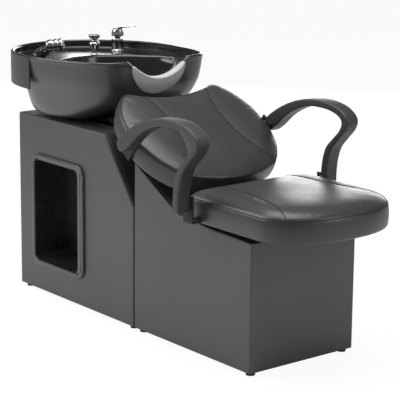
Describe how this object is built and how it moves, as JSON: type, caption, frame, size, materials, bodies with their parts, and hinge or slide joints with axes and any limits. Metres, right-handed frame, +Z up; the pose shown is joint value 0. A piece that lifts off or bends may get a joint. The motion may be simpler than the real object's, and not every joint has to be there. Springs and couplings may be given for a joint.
{
  "type": "hair washing bed",
  "caption": "Salon backwash unit: a padded seat with looped armrests and a reclined back in front of a tilting oval wash bowl, on two joined cabinets with a side storage tray.",
  "frame": {"origin": "on the floor, half way along the bed and on its centre plane", "axes": "+X from the bowl to the front of the seat, +Y to the far side, away from the storage tray, +Z up"},
  "size_m": [1.458, 0.584, 0.8071],
  "materials": {
    "vinyl_board": "board covered in black satin vinyl",
    "zinc_steel": "zinc plated",
    "foot_rubber": "matte",
    "tray_plastic": "satin gloss, moulded",
    "upholstery": "smooth black vinyl leather, soft sheen",
    "plywood": "black stained plywood",
    "black_steel": "black powder coat",
    "arm_foam": "moulded soft foam with a fine skin",
    "cap_plastic": "black, moulded",
    "bowl_plastic": "satin gloss, moulded",
    "neck_gel": "soft grey gel with ribs",
    "chrome": "mirror polished",
    "brass": "plain"
  },
  "bodies": {
    "bed": {"rear_near_panel": "vinyl_board", "rear_far_panel": "vinyl_board", "rear_back_panel": "vinyl_board", "rear_joint_panel": "vinyl_board", "rear_bottom_board": "vinyl_board", "rear_top_board": "vinyl_board", "rear_slope_board": "vinyl_board", "front_near_panel": "vinyl_board", "front_far_panel": "vinyl_board", "front_nose_panel": "vinyl_board", "front_back_panel": "vinyl_board", "front_bottom_board": "vinyl_board", "front_top_board": "vinyl_board", "front_slope_board": "vinyl_board", "joint_bolts": "zinc_steel", "rear_feet": "foot_rubber", "front_feet": "foot_rubber", "storage_tray": "tray_plastic", "tray_lip": "tray_plastic", "seat_cushion": "upholstery", "seat_board": "plywood", "near_seat_rail": "plywood", "far_seat_rail": "plywood", "back_cushion": "upholstery", "back_board": "plywood", "near_back_strap": "black_steel", "far_back_strap": "black_steel", "far_arm_seat_bracket": "black_steel", "near_arm_seat_bracket": "black_steel", "far_arm_back_bracket": "black_steel", "near_arm_back_bracket": "black_steel", "far_armrest": "arm_foam", "near_armrest": "arm_foam", "arm_bolts": "zinc_steel", "arm_bolt_caps": "cap_plastic", "bowl_bracket": "black_steel", "tilt_pin": "zinc_steel", "tilt_nuts": "zinc_steel", "bowl_rest_pads": "foot_rubber"},
    "bowl": {"bowl_shell": "bowl_plastic", "bowl_skirt": "bowl_plastic", "bowl_deck": "bowl_plastic", "bowl_carrier": "black_steel", "drain_flange": "chrome", "drain_nut": "cap_plastic", "drain_tailpiece": "cap_plastic", "mixer_flange": "chrome", "mixer_body": "chrome", "vacuum_breaker": "chrome", "sprayer_holder": "cap_plastic", "deck_nuts": "brass"},
    "neck_rest": {"neck_rest": "neck_gel"},
    "strainer": {"drain_strainer": "chrome"},
    "mixer_hub": {"mixer_hub": "chrome"},
    "mixer_lever": {"mixer_lever": "chrome"},
    "sprayer": {"sprayer_grip": "chrome", "sprayer_head": "chrome", "spray_face": "cap_plastic"}
  },
  "joints": [
    {"name": "bowl_tilt", "type": "hinge", "parent": "bed", "child": "bowl", "pos_m": [-0.214, 0, 0.578], "axis": [0, 1, 0], "range_deg": [0, 12]},
    {"name": "neck_rest_lift", "type": "slide", "parent": "bowl", "child": "neck_rest", "axis": [0.7071, 0, 0.7071], "range_m": [0, 0.06]},
    {"name": "strainer_lift", "type": "slide", "parent": "bowl", "child": "strainer", "axis": [0, 0, 1], "range_m": [0, 0.06]},
    {"name": "mixer_turn", "type": "hinge", "parent": "bowl", "child": "mixer_hub", "pos_m": [-0.546, 0.165, 0.769], "axis": [0, 0, 1], "range_deg": [-45, 45]},
    {"name": "mixer_raise", "type": "hinge", "parent": "mixer_hub", "child": "mixer_lever", "pos_m": [-0.546, 0.165, 0.781], "axis": [0, -1, 0], "range_deg": [0, 25]},
    {"name": "sprayer_draw", "type": "slide", "parent": "bowl", "child": "sprayer", "axis": [0.9135, 0, 0.4067], "range_m": [0, 0.12]}
  ]
}
